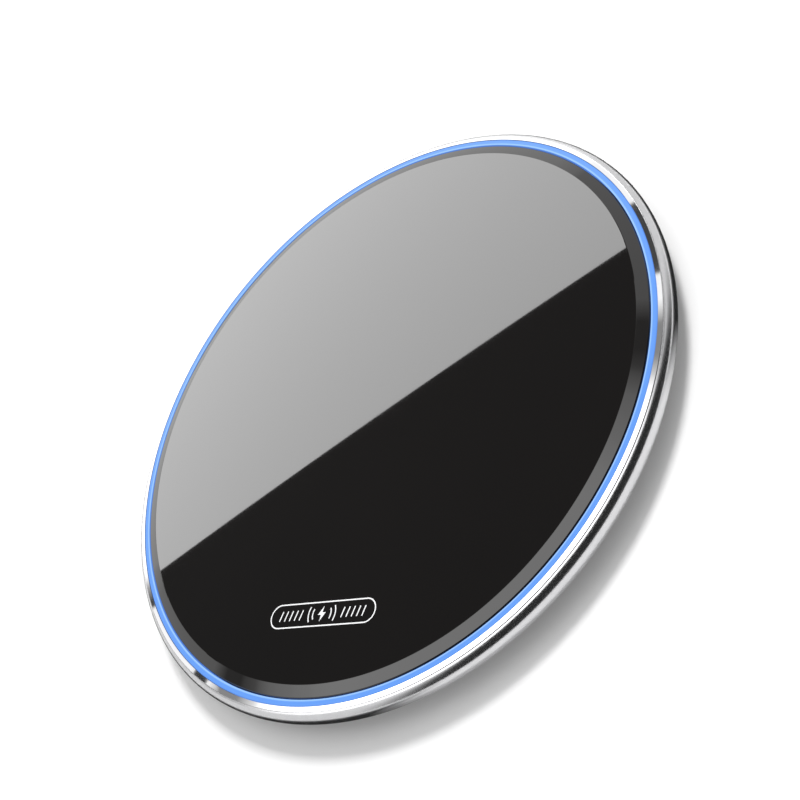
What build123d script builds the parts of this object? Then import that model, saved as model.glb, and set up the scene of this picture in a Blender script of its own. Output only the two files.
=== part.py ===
from build123d import *
import math
import os

# Wireless charging pad: a black glass disc in a convex metal ring, with a lit ring between them.
# Millimetres. +Z is up, the origin is the centre of the footprint on the table, and the
# charging socket faces +Y.

# Outer shape
outer_radius = 50.0
ring_plane_drop = 0.45  # the face of the glass stands this far above the lit ring
frame_depth = 3.4  # height of the metal ring
bulge_rise = 1.8  # from the lower edge of the metal ring to its widest point
lower_edge_inset = 0.7
lip_edge_inset = 1.15
lip_width = 0.67
lip_drop = 0.1  # the lip slopes down towards the outside
lip_groove = 0.12

# Stack, from the table up
foot_proud = 0.8
foot_sink = 0.3
floor_thickness = 1.2
board_stand = 0.4
board_thickness = 1.0
ferrite_glue = 0.1
ferrite_thickness = 0.6
coil_film_thickness = 0.05
wire_diameter = 1.06
inner_headroom = 0.19  # left under the deck above the tallest piece
deck_thickness = 0.6
panel_glue = 0.05
panel_thickness = 0.9

# Rim pieces, inwards from the metal lip
light_ring_clearance = 0.04
light_ring_width = 1.02
light_ring_round = 0.16
light_flange_height = 0.6
light_flange_width = 3.8
panel_gap = 0.17
panel_bevel_width = 1.62
panel_bevel_drop = 0.47
panel_edge_round = 0.1
deck_inset = 0.05
frame_wall = 1.3
wall_clearance = 0.1
cover_wall = 2.0
cover_step = 0.2
cover_taper = 2.9
cover_round = 0.5
board_clearance = 0.3

# Foot and screws
foot_outer_inset = 6.5
foot_width = 9.5
foot_clearance = 0.1
foot_round = 0.2
screw_circle_inset = 11.5
screw_count = 4
screw_first_angle = 45
screw_head_radius = 1.6
screw_head_height = 0.6
screw_shank_radius = 0.85
screw_bite = 1.5
screw_clearance = 0.15
thread_clearance = 0.01
boss_radius = 2.0
drive_radius = 0.75
drive_depth = 0.35

# Coil
coil_turns = 10
coil_pitch = 1.13
coil_inner_radius = 10.85
ferrite_radius = 25.0
ferrite_hole_radius = 3.0
lead_slot_width = 1.7
lead_slot_shift = 3.0
lead_slot_start = 4.0
lead_straight = 1.0
lead_dive = (4.8, 7.4)  # from the middle of the coil, where the inner lead starts and stops going down
lead_drop = 1.13
lead_rise = 3.0  # length over which a lead climbs or comes down beside the ferrite
lead_board_run = 3.0
outer_lead_steps = (7.0, 12.0, 14.0, 15.0)
bend_radius = 0.8

# Charging socket
shell_width = 8.94
shell_height = 3.16
shell_length = 7.3
shell_wall = 0.3
shell_setback = 0.75
socket_lift = 0.1  # gap between the shell and the floor of the bottom cover
bezel_wall = 0.45
port_clearance = 0.08
tongue_width = 6.69
tongue_thickness = 0.7
tongue_length = 4.45
contact_count = 12
contact_pitch = 0.5
contact_width = 0.25
contact_thickness = 0.05
tab_width = 0.9
tab_length = 1.2
tab_spacing = 2.4

# Electronics: length, width, height
controller_size = (6.0, 6.0, 0.85)
switch_size = (3.3, 3.3, 0.9)
resonance_size = (4.5, 3.2, 1.7)
input_capacitor_size = (3.2, 1.6, 1.6)
inductor_size = (5.0, 5.0, 1.7)
crystal_size = (3.2, 2.5, 0.8)
resistor_size = (1.0, 0.5, 0.35)
led_size = (1.6, 2.0, 0.7)
led_driver_size = (3.0, 2.0, 0.8)
led_count = 8
led_inset = 5.4
crystal_gap = 3.5
resistor_inset = 5.0
thermal_pad_size = (12.0, 12.0)
bead_radius = 0.7
bead_lead_radius = 0.15
bead_lead_spacing = 0.8

# Heights that follow from the stack
floor_bottom = foot_proud
floor_top = floor_bottom + floor_thickness
board_bottom = floor_top + board_stand
board_top = board_bottom + board_thickness
ferrite_bottom = board_top + ferrite_glue
ferrite_top = ferrite_bottom + ferrite_thickness
coil_bottom = ferrite_top + coil_film_thickness
coil_middle = coil_bottom + wire_diameter / 2
socket_top = floor_top + socket_lift + shell_height
deck_bottom = max(coil_bottom + wire_diameter, socket_top) + inner_headroom
deck_top = deck_bottom + deck_thickness
panel_bottom = deck_top + panel_glue
panel_top = panel_bottom + panel_thickness
ring_plane = panel_top - ring_plane_drop
frame_bottom = ring_plane - frame_depth
flange_bottom = deck_bottom - light_flange_height

# Radii that follow from the outer radius
lip_outer = outer_radius - lip_edge_inset
lip_inner = lip_outer - lip_width
frame_foot_radius = outer_radius - lower_edge_inset
frame_inner = outer_radius - frame_wall
light_outer = lip_inner - light_ring_clearance
light_inner = light_outer - light_ring_width
panel_radius = light_inner - panel_gap
wall_outer = frame_inner - wall_clearance
wall_inner = wall_outer - cover_wall
flange_inner = wall_outer - light_flange_width
board_radius = wall_inner - board_clearance
foot_outer = outer_radius - foot_outer_inset
foot_inner = foot_outer - foot_width
screw_circle = outer_radius - screw_circle_inset
led_circle = outer_radius - led_inset
parts_radius = (ferrite_radius + board_radius) / 2
crystal_circle = ferrite_radius + crystal_gap
resistor_circle = board_radius - resistor_inset

# Socket and coil places
socket_height = socket_top - shell_height / 2
shell_front = outer_radius - shell_setback
shell_back = shell_front - shell_length
bezel_start = lip_inner + port_clearance
bezel_width = shell_width + 2 * (port_clearance + bezel_wall)
bezel_height = shell_height + 2 * (port_clearance + bezel_wall)
frame_slot_width = bezel_width + 2 * port_clearance
frame_slot_height = bezel_height + 2 * port_clearance
lead_slot_x = coil_inner_radius - lead_slot_shift
coil_outer_radius = coil_inner_radius + coil_turns * coil_pitch


def turned(*outline):
    """Solid of revolution about the vertical axis, from joined lines in radius and height."""
    return revolve(Plane.XZ * make_face(Curve() + list(outline)), Axis.Z)


def turned_polygon(*points):
    """Solid of revolution about the vertical axis, from the corners of its section."""
    return turned(Polyline(*points, close=True))


def disc(radius, bottom, top, hole_radius=0):
    """Flat disc or washer between two heights."""
    plate = Pos(0, 0, bottom) * extrude(Circle(radius), top - bottom)
    if hole_radius:
        plate -= Pos(0, 0, bottom) * extrude(Circle(hole_radius), top - bottom)
    return plate


def block(size, x, y, bottom, turn=0):
    """Box standing on a height, turned about its own vertical axis."""
    return Pos(x, y, bottom) * Rot(0, 0, turn) * Box(*size, align=(Align.CENTER, Align.CENTER, Align.MIN))


def around(radius, count, first_angle=0):
    """Places spaced evenly on a circle about the vertical axis."""
    step = 360 / count
    return [Rot(0, 0, first_angle + step * i) * Pos(radius, 0, 0) for i in range(count)]


def screw_places():
    """Places of the cover screws, clear of the socket."""
    return around(screw_circle, screw_count, screw_first_angle)


def port_slot(width, height, start, end):
    """Rounded slot along +Y at the height of the socket."""
    plane = Plane(origin=(0, start, socket_height), x_dir=(1, 0, 0), z_dir=(0, 1, 0))
    return extrude(plane * SlotOverall(width, height), end - start)


def lead_slot(bottom, top, reach):
    """Slot along -Y that lets the inner coil lead pass under the winding."""
    length = reach - lead_slot_start
    size = (lead_slot_width, length, top - bottom)
    return block(size, lead_slot_x, -lead_slot_start - length / 2, bottom)


def wire_along(path):
    """Round coil wire swept along a path."""
    start = Plane(origin=path @ 0, z_dir=path % 0)
    return sweep(start * Circle(wire_diameter / 2), path=path)


def group(solids):
    """Separate solids of one node."""
    return Compound(children=list(solids))


# Casing


def frame_outline():
    """Section of the metal ring without its bore: the lip, a fine groove and the bulging side."""
    lip_edge = (lip_outer, ring_plane - lip_drop)
    groove_floor = (lip_outer, ring_plane - lip_drop - lip_groove)
    side_top = (lip_outer + lip_groove, ring_plane - lip_drop - lip_groove)
    side_middle = (outer_radius, frame_bottom + bulge_rise)
    side_bottom = (frame_foot_radius, frame_bottom)
    upper_side = TangentArc(side_middle, side_top, tangent=(0, 1))
    lower_side = TangentArc(side_middle, side_bottom, tangent=(0, -1))
    closing = Polyline(side_bottom, (0, frame_bottom), (0, ring_plane), (lip_inner, ring_plane))
    groove = Polyline((lip_inner, ring_plane), lip_edge, groove_floor, side_top)
    return turned(upper_side, lower_side, closing, groove)


def metal_frame():
    """Metal ring: lip above, bore below for the cover, and a slot for the socket bezel."""
    ring = frame_outline()
    ring -= disc(lip_inner, frame_bottom, ring_plane)
    ring -= disc(frame_inner, frame_bottom, deck_bottom)
    ring -= port_slot(frame_slot_width, frame_slot_height, panel_radius, outer_radius)
    below = (frame_slot_width, 2 * frame_wall, socket_height - floor_bottom)
    return ring - block(below, 0, outer_radius, floor_bottom)


def bottom_cover():
    """Moulded cover: floor, tapered shoulder that carries the ring, and an inner wall."""
    shoulder = frame_foot_radius - cover_step
    underside = shoulder - cover_taper
    section = Polyline(
        (0, floor_bottom),
        (underside, floor_bottom),
        (shoulder, frame_bottom),
        (wall_outer, frame_bottom),
        (wall_outer, flange_bottom),
        (wall_inner, flange_bottom),
        (wall_inner, floor_top),
        (0, floor_top),
        close=True,
    )
    profile = make_face(section)
    corner = profile.vertices().sort_by_distance((underside, floor_bottom))[0]
    cover = revolve(Plane.XZ * fillet(corner, cover_round), Axis.Z)
    groove_top = floor_bottom + foot_sink
    cover -= disc(
        foot_outer + foot_clearance, floor_bottom, groove_top, foot_inner - foot_clearance
    )
    for place in screw_places():
        cover += place * disc(boss_radius, floor_top, board_bottom)
    for place in screw_places():
        cover -= place * disc(
            screw_head_radius + screw_clearance, groove_top, groove_top + screw_head_height
        )
        cover -= place * disc(screw_shank_radius + screw_clearance, groove_top, board_bottom)
    cover -= port_slot(frame_slot_width, frame_slot_height, lip_inner, outer_radius)
    opening = (frame_slot_width, 2 * (cover_wall + cover_step), flange_bottom - floor_top)
    return cover - block(opening, 0, wall_outer, floor_top)


def foot_ring():
    """Soft ring that grips the table and hides the screws."""
    section = Polyline(
        (foot_inner, 0),
        (foot_outer, 0),
        (foot_outer, foot_proud + foot_sink),
        (foot_inner, foot_proud + foot_sink),
        close=True,
    )
    profile = make_face(section)
    lower = profile.vertices().sort_by(Axis.Y)[:2]
    return revolve(Plane.XZ * fillet(lower, foot_round), Axis.Z)


def cover_screws():
    """Screws up through the cover and the board into the bosses of the deck."""
    head_bottom = floor_bottom + foot_sink
    head_top = head_bottom + screw_head_height
    shank_top = board_top + screw_bite
    screw = disc(screw_head_radius, head_bottom, head_top)
    screw += disc(screw_shank_radius, head_top, shank_top)
    drive = Pos(0, 0, head_bottom) * extrude(RegularPolygon(drive_radius, 6), drive_depth)
    return group([place * (screw - drive) for place in screw_places()])


def deck():
    """Inner plate under the glass, with bosses that reach down to the board."""
    plate = disc(panel_radius + deck_inset, deck_bottom, deck_top)
    for place in screw_places():
        plate += place * disc(boss_radius, board_top, deck_bottom)
    for place in screw_places():
        hole = disc(screw_shank_radius + thread_clearance, board_top, board_top + screw_bite)
        plate -= place * hole
    return plate


def light_ring():
    """Clear light guide: a rim that shows, and a flange below that takes in the light."""
    section = Polyline(
        (flange_inner, flange_bottom),
        (wall_outer, flange_bottom),
        (wall_outer, deck_bottom),
        (light_outer, deck_bottom),
        (light_outer, ring_plane),
        (light_inner, ring_plane),
        (light_inner, deck_bottom),
        (flange_inner, deck_bottom),
        close=True,
    )
    profile = make_face(section)
    crown = profile.vertices().sort_by(Axis.Y)[-2:]
    guide = revolve(Plane.XZ * fillet(crown, light_ring_round), Axis.Z)
    notch = (frame_slot_width, 2 * (wall_outer - shell_back), light_flange_height)
    return guide - block(notch, 0, wall_outer, flange_bottom)


def top_panel():
    """Black glass disc with a bevelled edge."""
    face_radius = panel_radius - panel_edge_round - panel_bevel_width
    bevel_foot = panel_top - panel_bevel_drop
    section = Polyline(
        (0, panel_bottom),
        (panel_radius, panel_bottom),
        (panel_radius, bevel_foot - panel_edge_round),
        (panel_radius - panel_edge_round, bevel_foot),
        (face_radius, panel_top),
        (0, panel_top),
        close=True,
    )
    return revolve(Plane.XZ * make_face(section), Axis.Z)


def panel_adhesive():
    """Double-sided sheet between the deck and the glass."""
    return disc(panel_radius - deck_inset, deck_top, panel_bottom)


# Coil


def spiral_path():
    """Flat spiral of half turns, each tangent to the next."""
    shift = coil_pitch / 2
    arcs = []
    for turn in range(coil_turns):
        radius = coil_inner_radius + turn * coil_pitch
        arcs.append(CenterArc((0, 0, coil_middle), radius, 0, 180))
        arcs.append(CenterArc((shift, 0, coil_middle), radius + shift, 180, 180))
    return Wire(arcs)


def coil_leads():
    """Both ends of the winding, led out to the board."""
    on_board = board_top + wire_diameter / 2
    sunk = coil_middle - lead_drop
    clear = ferrite_radius + wire_diameter
    leaves, passes, lands, ends = outer_lead_steps
    outer_end = FilletPolyline(
        (coil_outer_radius, 0, coil_middle),
        (coil_outer_radius, leaves, coil_middle),
        (clear, passes, coil_middle),
        (clear + lead_rise, lands, on_board),
        (clear + lead_rise + lead_board_run, ends, on_board),
        radius=bend_radius,
    )
    dive_start, dive_end = lead_dive
    inner_end = FilletPolyline(
        (coil_inner_radius, 0, coil_middle),
        (coil_inner_radius, -lead_straight, coil_middle),
        (lead_slot_x, -dive_start, coil_middle),
        (lead_slot_x, -dive_end, sunk),
        (lead_slot_x, -ferrite_radius - wire_diameter / 2, sunk),
        (lead_slot_x, -ferrite_radius - lead_rise, on_board),
        (lead_slot_x, -ferrite_radius - lead_rise - lead_board_run, on_board),
        radius=bend_radius,
    )
    return group([wire_along(outer_end), wire_along(inner_end)])


def slotted_disc(radius, bottom, top):
    """Disc under the coil, with its centre hole and the slot for the inner lead."""
    plate = disc(radius, bottom, top, ferrite_hole_radius)
    return plate - lead_slot(bottom, top, radius + 1)


def thermistor():
    """Temperature bead in the middle of the coil, with two legs down to the board."""
    bead = Pos(0, 0, coil_middle) * Sphere(bead_radius)
    for side in (-1, 1):
        leg = disc(bead_lead_radius, board_top, coil_middle)
        bead += Pos(side * bead_lead_spacing / 2, 0, 0) * leg
    return bead


# Charging socket


def usb_shell():
    """Drawn metal shell of the socket, with four tabs on the board."""
    shell = port_slot(shell_width, shell_height, shell_back, shell_front)
    shell -= port_slot(
        shell_width - 2 * shell_wall, shell_height - 2 * shell_wall, shell_back, shell_front
    )
    tab = (tab_width + shell_wall, tab_length, shell_wall)
    x = shell_width / 2 + (tab_width - shell_wall) / 2
    y = shell_back + tab_length
    for side in (-1, 1):
        shell += block(tab, side * x, y, board_top)
        shell += block(tab, side * x, y + tab_spacing, board_top)
    return shell


def usb_tongue():
    """Insulator at the back of the shell, and the tongue that stands in the opening."""
    base_length = shell_length - tongue_length - 2 * shell_wall
    base = port_slot(
        shell_width - 2 * shell_wall, shell_height - 2 * shell_wall,
        shell_back, shell_back + base_length,
    )
    tongue = (tongue_width, tongue_length, tongue_thickness)
    bottom = socket_height - tongue_thickness / 2
    return base + block(tongue, 0, shell_back + base_length + tongue_length / 2, bottom)


def usb_contacts():
    """Gold contact strips on both faces of the tongue."""
    base_length = shell_length - tongue_length - 2 * shell_wall
    length = tongue_length - 2 * shell_wall
    size = (contact_width, length, contact_thickness)
    y = shell_back + base_length + length / 2
    levels = (
        socket_height + tongue_thickness / 2,
        socket_height - tongue_thickness / 2 - contact_thickness,
    )
    first = -(contact_count - 1) * contact_pitch / 2
    places = [(first + i * contact_pitch, level) for i in range(contact_count) for level in levels]
    return group([block(size, x, y, level) for x, level in places])


def port_bezel():
    """Moulded bezel around the socket, flush with the side of the pad."""
    tube = port_slot(bezel_width, bezel_height, bezel_start, outer_radius)
    bore_width = shell_width + 2 * port_clearance
    bore_height = shell_height + 2 * port_clearance
    tube -= port_slot(bore_width, bore_height, bezel_start, outer_radius)
    lowest = socket_height - bezel_height / 2
    below = disc(frame_foot_radius - cover_step, lowest, frame_bottom)
    return tube & (frame_outline() + below)


# Board


def circuit_board():
    """Round board with the socket notch, the lead slot and the screw holes."""
    board = disc(board_radius, board_bottom, board_top)
    notch_depth = board_radius - shell_back + port_clearance
    notch = (shell_width + 2 * port_clearance, 2 * notch_depth, board_thickness)
    board -= block(notch, 0, board_radius, board_bottom)
    board -= lead_slot(board_bottom, board_top, ferrite_radius + lead_rise + wire_diameter / 2)
    for place in screw_places():
        board -= place * disc(screw_shank_radius + screw_clearance, board_bottom, board_top)
    return board


def on_board(size, places):
    """Chips of one kind, each given by its angle, its radius and its own turn."""
    chips = []
    for angle, radius, turn in places:
        x = radius * math.cos(math.radians(angle))
        y = radius * math.sin(math.radians(angle))
        chips.append(block(size, x, y, board_top, turn))
    return group(chips)


def ring_leds():
    """Lamps around the edge of the board, below the flange of the light ring."""
    lamp = block(led_size, 0, 0, board_top)
    return group([place * lamp for place in around(led_circle, led_count, 180 / led_count)])


nodes = {
    "top_panel": top_panel(),
    "panel_adhesive": panel_adhesive(),
    "deck": deck(),
    "light_ring": light_ring(),
    "metal_frame": metal_frame(),
    "bottom_cover": bottom_cover(),
    "foot_ring": foot_ring(),
    "cover_screws": cover_screws(),
    "port_bezel": port_bezel(),
    "usb_shell": usb_shell(),
    "usb_tongue": usb_tongue(),
    "usb_contacts": usb_contacts(),
    "circuit_board": circuit_board(),
    "ferrite_adhesive": slotted_disc(ferrite_radius, board_top, ferrite_bottom),
    "ferrite_plate": slotted_disc(ferrite_radius, ferrite_bottom, ferrite_top),
    "coil_film": slotted_disc(ferrite_radius, ferrite_top, coil_bottom),
    "coil_winding": wire_along(spiral_path()),
    "coil_leads": coil_leads(),
    "thermistor": thermistor(),
    "thermal_pad": block((*thermal_pad_size, board_stand), -parts_radius, 0, floor_top),
    "controller_chip": on_board(controller_size, [(180, parts_radius, 0)]),
    "power_switches": on_board(
        switch_size, [(angle, parts_radius, angle) for angle in (150, 160, 200, 210)]
    ),
    "resonance_capacitors": on_board(
        resonance_size, [(angle, parts_radius, angle) for angle in (-12, -4, 4, 12)]
    ),
    "input_capacitors": on_board(
        input_capacitor_size, [(angle, parts_radius, angle) for angle in (108, 114, 120)]
    ),
    "power_inductor": on_board(inductor_size, [(70, parts_radius, 70)]),
    "crystal": on_board(crystal_size, [(195, crystal_circle, 195)]),
    "led_driver": on_board(led_driver_size, [(-60, parts_radius, 30)]),
    "chip_resistors": on_board(
        resistor_size, [(angle, resistor_circle, angle) for angle in range(230, 300, 6)]
    ),
    "ring_leds": ring_leds(),
}

os.makedirs("parts", exist_ok=True)
for name, shape in nodes.items():
    export_step(shape, f"parts/{name}.step")
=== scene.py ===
"""Looks of the wireless charging pad: finishes, smooth outer pieces and a small studio."""

from __future__ import annotations

import logging
import math
from dataclasses import dataclass
from enum import Enum
from typing import Any, Iterable, Sequence

import bmesh
import bpy
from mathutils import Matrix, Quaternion, Vector


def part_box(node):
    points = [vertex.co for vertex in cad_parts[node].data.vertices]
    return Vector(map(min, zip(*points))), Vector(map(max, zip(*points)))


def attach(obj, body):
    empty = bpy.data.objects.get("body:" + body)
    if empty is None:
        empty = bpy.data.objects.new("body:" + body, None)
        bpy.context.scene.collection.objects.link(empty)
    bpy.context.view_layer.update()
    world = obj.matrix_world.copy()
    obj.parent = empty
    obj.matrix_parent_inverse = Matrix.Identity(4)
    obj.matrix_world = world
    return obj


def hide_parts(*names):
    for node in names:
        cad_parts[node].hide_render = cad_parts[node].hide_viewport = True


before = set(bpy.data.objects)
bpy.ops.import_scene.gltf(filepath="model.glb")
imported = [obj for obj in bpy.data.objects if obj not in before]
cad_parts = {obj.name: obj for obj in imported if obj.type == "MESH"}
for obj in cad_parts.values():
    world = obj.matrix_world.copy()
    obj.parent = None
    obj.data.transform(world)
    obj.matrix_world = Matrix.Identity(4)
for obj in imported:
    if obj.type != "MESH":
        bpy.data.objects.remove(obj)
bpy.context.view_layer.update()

MM = 0.001
BODY = "root"
FULL_TURN = 360.0

SLOT_CLEARANCE = 0.08 * MM
SLOT_DEPTH_IN_WALLS = 4
SLOT_END_STEPS = 20
FLAT_LIP_SLOPE = 0.1
LIP_SHARP_ANGLE = 32.0

BLOTCH_IN_GRAINS = 12
GLOSS_IN_GRAINS = 4
CLOUD_IN_GRAINS = 10

Point = tuple[float, float]
Color = tuple[float, float, float]

log = logging.getLogger("pad")


# Shaders ---------------------------------------------------------------------------------------


@dataclass(frozen=True)
class Signal:
    """A shader socket on which sums are written as ordinary expressions."""

    shader: Shader
    socket: bpy.types.NodeSocket

    def __add__(self, other: Signal | float) -> Signal:
        """Sum of two values."""
        return self.shader.maths("ADD", self, other)

    def __radd__(self, other: float) -> Signal:
        """Sum of two values."""
        return self.shader.maths("ADD", other, self)

    def __sub__(self, other: Signal | float) -> Signal:
        """Difference of two values."""
        return self.shader.maths("SUBTRACT", self, other)

    def __rsub__(self, other: float) -> Signal:
        """Difference of two values."""
        return self.shader.maths("SUBTRACT", other, self)

    def __mul__(self, other: Signal | float) -> Signal:
        """Product of two values."""
        return self.shader.maths("MULTIPLY", self, other)

    def __rmul__(self, other: float) -> Signal:
        """Product of two values."""
        return self.shader.maths("MULTIPLY", other, self)

    def __truediv__(self, other: Signal | float) -> Signal:
        """Quotient of two values."""
        return self.shader.maths("DIVIDE", self, other)

    def clamped(self) -> Signal:
        """This value kept between 0 and 1."""
        return self.shader.maths("MINIMUM", self.shader.maths("MAXIMUM", self, 0.0), 1.0)


class Shader:
    """Node tree of one material or world."""

    def __init__(self, owner: bpy.types.Material | bpy.types.World) -> None:
        """Clears the owner's tree.

        Args:
            owner: the material or world that the tree belongs to.
        """
        owner.use_nodes = True
        self.tree = owner.node_tree
        self.tree.nodes.clear()

    def node(self, kind: str, settings: dict[str, Any], sockets: dict[Any, Any]) -> bpy.types.Node:
        """Adds a node.

        Args:
            kind: the node's type, without its ShaderNode prefix.
            settings: properties that are set first; "stops" fills a colour ramp.
            sockets: input name or number to a value or a Signal.

        Returns:
            The new node.
        """
        made = self.tree.nodes.new("ShaderNode" + kind)
        for name, value in settings.items():
            if name == "stops":
                self._fill_ramp(made.color_ramp, value)
            else:
                setattr(made, name, value)
        for name, value in sockets.items():
            self._feed(made.inputs[name], value)
        return made

    def signal(
        self, kind: str, settings: dict[str, Any], sockets: dict[Any, Any], out: Any = 0
    ) -> Signal:
        """Adds a node and returns one of its outputs.

        Args:
            kind: the node's type, without its prefix.
            settings: properties that are set first.
            sockets: input name or number to a value or a Signal.
            out: name or number of the output.

        Returns:
            The output as a Signal.
        """
        return Signal(self, self.node(kind, settings, sockets).outputs[out])

    def maths(self, operation: str, first: Signal | float, second: Signal | float) -> Signal:
        """Adds one Math node and returns its value."""
        return self.signal("Math", {"operation": operation}, {0: first, 1: second})

    def mix(self, share: Signal | float, first: Signal | Color, second: Signal | Color) -> Signal:
        """Colour between two colours.

        Args:
            share: 0 for the first colour, 1 for the second.
            first: a colour.
            second: a colour.

        Returns:
            The mixed colour.
        """
        return self.signal("Mix", {"data_type": "RGBA"}, {0: share, 6: first, 7: second}, out=2)

    def noise(self, scale: float, detail: float = 3.0, stretch: Color = (1.0, 1.0, 1.0)) -> Signal:
        """Soft random pattern in the object's own space.

        Args:
            scale: waves for each metre.
            detail: octaves.
            stretch: scale along each axis.

        Returns:
            Values from 0 to 1.
        """
        place = self.signal("TexCoord", {}, {}, out="Object")
        place = self.signal("Mapping", {}, {"Vector": place, "Scale": stretch})
        return self.signal("TexNoise", {}, {"Vector": place, "Scale": scale, "Detail": detail})

    def distance_from_axis(self) -> Signal:
        """Measures how far a point is from the pad's vertical axis.

        Returns:
            The distance in metres.
        """
        place = self.signal("TexCoord", {}, {}, out="Object")
        flat = self.signal("VectorMath", {"operation": "MULTIPLY"}, {0: place, 1: (1.0, 1.0, 0.0)})
        return self.signal("VectorMath", {"operation": "LENGTH"}, {0: flat}, out="Value")

    def ramp(self, along: Signal, stops: Sequence[tuple[float, Color]]) -> Signal:
        """Colours along a value."""
        return self.signal("ValToRGB", {"stops": stops}, {"Fac": along})

    def bump(self, height: Signal, depth: float) -> Signal:
        """Surface relief.

        Args:
            height: pattern from 0 to 1.
            depth: depth of the relief in metres.

        Returns:
            The bent normal.
        """
        return self.signal("Bump", {}, {"Strength": 1.0, "Distance": depth, "Height": height}, out="Normal")

    def finish(self, sockets: dict[str, Any]) -> None:
        """Closes a material with a Principled shader."""
        surface = self.signal("BsdfPrincipled", {}, sockets)
        self.node("OutputMaterial", {}, {"Surface": surface})

    def _feed(self, socket: bpy.types.NodeSocket, value: Any) -> None:
        """Links or sets one input.

        Args:
            socket: the input.
            value: a Signal to link, or a value; a colour gets an alpha of 1.
        """
        if isinstance(value, Signal):
            self.tree.links.new(value.socket, socket)
        elif isinstance(value, tuple) and len(socket.default_value) == 4:
            socket.default_value = (*value, 1.0)
        else:
            socket.default_value = value

    @staticmethod
    def _fill_ramp(ramp: bpy.types.ColorRamp, stops: Sequence[tuple[float, Color]]) -> None:
        """Writes the stops of a colour ramp.

        Args:
            ramp: the ramp.
            stops: places from 0 to 1 with their colours.
        """
        while len(ramp.elements) < len(stops):
            ramp.elements.new(1.0)
        for element, (place, color) in zip(ramp.elements, stops):
            element.position = place
            element.color = (*color, 1.0)


# Finishes --------------------------------------------------------------------------------------


@dataclass(frozen=True)
class Finish:
    """A plain material with fine variation of its colour, gloss and relief."""

    name: str
    color: Color
    roughness: float
    metallic: float = 0.0
    grain: float = 4000.0
    color_spread: float = 0.15
    gloss_spread: float = 0.08
    relief: float = 0.0
    coat: float = 0.0

    def material(self) -> bpy.types.Material:
        """Makes the material once, and then shares it.

        Returns:
            The material.
        """
        found = bpy.data.materials.get(self.name)
        if found is None:
            found = bpy.data.materials.new(self.name)
            self.dress(Shader(found))
        return found

    def varied_color(self, shader: Shader) -> Signal:
        """Breaks the colour up with slow, soft blotches.

        Args:
            shader: the tree that takes the nodes.

        Returns:
            The colour.
        """
        darker = tuple(channel * (1 - self.color_spread) for channel in self.color)
        lighter = tuple(min(1.0, channel * (1 + self.color_spread)) for channel in self.color)
        return shader.mix(shader.noise(self.grain / BLOTCH_IN_GRAINS), darker, lighter)

    def varied_roughness(self, shader: Shader) -> Signal:
        """The roughness with a finer pattern on it."""
        return self.roughness + (shader.noise(self.grain / GLOSS_IN_GRAINS) - 0.5) * (2 * self.gloss_spread)

    def dress(self, shader: Shader) -> None:
        """Builds the nodes.

        Args:
            shader: the tree that takes them.
        """
        sockets = {
            "Base Color": self.varied_color(shader),
            "Roughness": self.varied_roughness(shader).clamped(),
            "Metallic": self.metallic,
            "Coat Weight": self.coat,
        }
        if self.relief:
            sockets["Normal"] = shader.bump(shader.noise(self.grain), self.relief)
        shader.finish(sockets)


@dataclass(frozen=True)
class MirrorGlass(Finish):
    """Black glass: almost a mirror, with the faintest haze."""

    index: float = 1.62
    haze_scale: float = 55.0
    haze: float = 0.012

    def dress(self, shader: Shader) -> None:
        """Builds the nodes.

        Args:
            shader: the tree that takes them.
        """
        wiped = shader.noise(self.haze_scale, detail=5.0, stretch=(1.0, 3.0, 1.0))
        shader.finish(
            {
                "Base Color": self.varied_color(shader),
                "Roughness": (self.roughness + wiped * self.haze).clamped(),
                "IOR": self.index,
            }
        )


@dataclass(frozen=True)
class GlowingGuide(Finish):
    """Clear ring lit from below, with a painted highlight along its inner edge, where the glow colour is
    brighter.
    """

    inner: float = 0.0
    outer: float = 0.0
    # painted highlight: brighter glow colour along the inner edge, standing in for a reflection
    edge: Color = (0.32, 0.56, 0.96)
    core: Color = (0.13, 0.32, 0.80)
    rim: Color = (0.08, 0.20, 0.62)

    def dress(self, shader: Shader) -> None:
        """Builds the nodes.

        Args:
            shader: the tree that takes them.
        """
        across = (shader.distance_from_axis() - self.inner) / (self.outer - self.inner)
        # the stops near the inner edge carry the painted highlight in the glow
        stops = (
            (0.0, self.rim),
            (0.07, self.edge),
            (0.22, self.edge),
            (0.34, self.core),
            (0.86, self.core),
            (1.0, self.rim),
        )
        glow = shader.ramp(across.clamped(), stops)
        cloudy = shader.noise(self.grain / CLOUD_IN_GRAINS)
        shader.finish(
            {
                "Base Color": self.color,
                "Roughness": self.roughness,
                "Specular IOR Level": 0.1,
                "Emission Color": shader.mix(cloudy * self.color_spread, glow, self.rim),
                "Emission Strength": 1.0,
            }
        )


@dataclass(frozen=True)
class TurnedMetal(Finish):
    """Metal turned on a lathe: hair-fine rings around the pad's axis under a blasted grain."""

    ring_pitch: float = 0.05 * MM
    ring_depth: float = 0.0

    def dress(self, shader: Shader) -> None:
        """Builds the nodes.

        Args:
            shader: the tree that takes them.
        """
        place = shader.signal("TexCoord", {}, {}, out="Object")
        height = shader.signal("SeparateXYZ", {}, {0: place}, out="Z")
        travel = shader.distance_from_axis() + height
        rings = shader.signal("Math", {"operation": "SINE"}, {0: travel * (math.tau / self.ring_pitch)})
        relief = shader.noise(self.grain) * self.relief + rings * self.ring_depth
        shader.finish(
            {
                "Base Color": self.varied_color(shader),
                "Roughness": self.varied_roughness(shader).clamped(),
                "Metallic": self.metallic,
                "Normal": shader.bump(relief, 1.0),
            }
        )


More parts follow.
